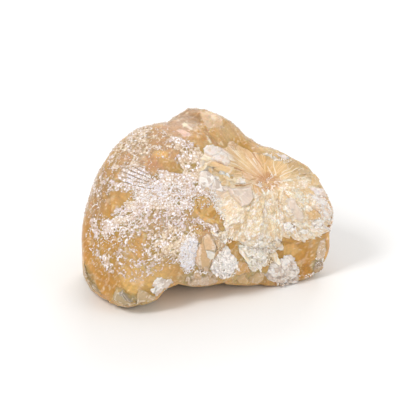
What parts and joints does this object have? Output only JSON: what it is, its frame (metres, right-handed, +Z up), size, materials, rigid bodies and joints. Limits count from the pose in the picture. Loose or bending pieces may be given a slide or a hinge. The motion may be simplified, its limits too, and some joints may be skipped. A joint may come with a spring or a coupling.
{
  "type": "raw aragonite specimen",
  "caption": "Palm-sized lump of raw honey aragonite with white frost and a radiating crystal fan, resting on a flat base.",
  "frame": {"origin": "under the middle of the stone, on the flat base it rests on", "axes": "+Z up, +X along the length from the rounded dome to the fan, -Y towards the side with the fan"},
  "size_m": [0.0635, 0.0444, 0.0429],
  "materials": {
    "aragonite": "translucent honey crystal under patchy white crystalline frost, with a cream fibrous fan; satin with small glints"
  },
  "bodies": {
    "root": {"aragonite": "aragonite"}
  },
  "joints": []
}
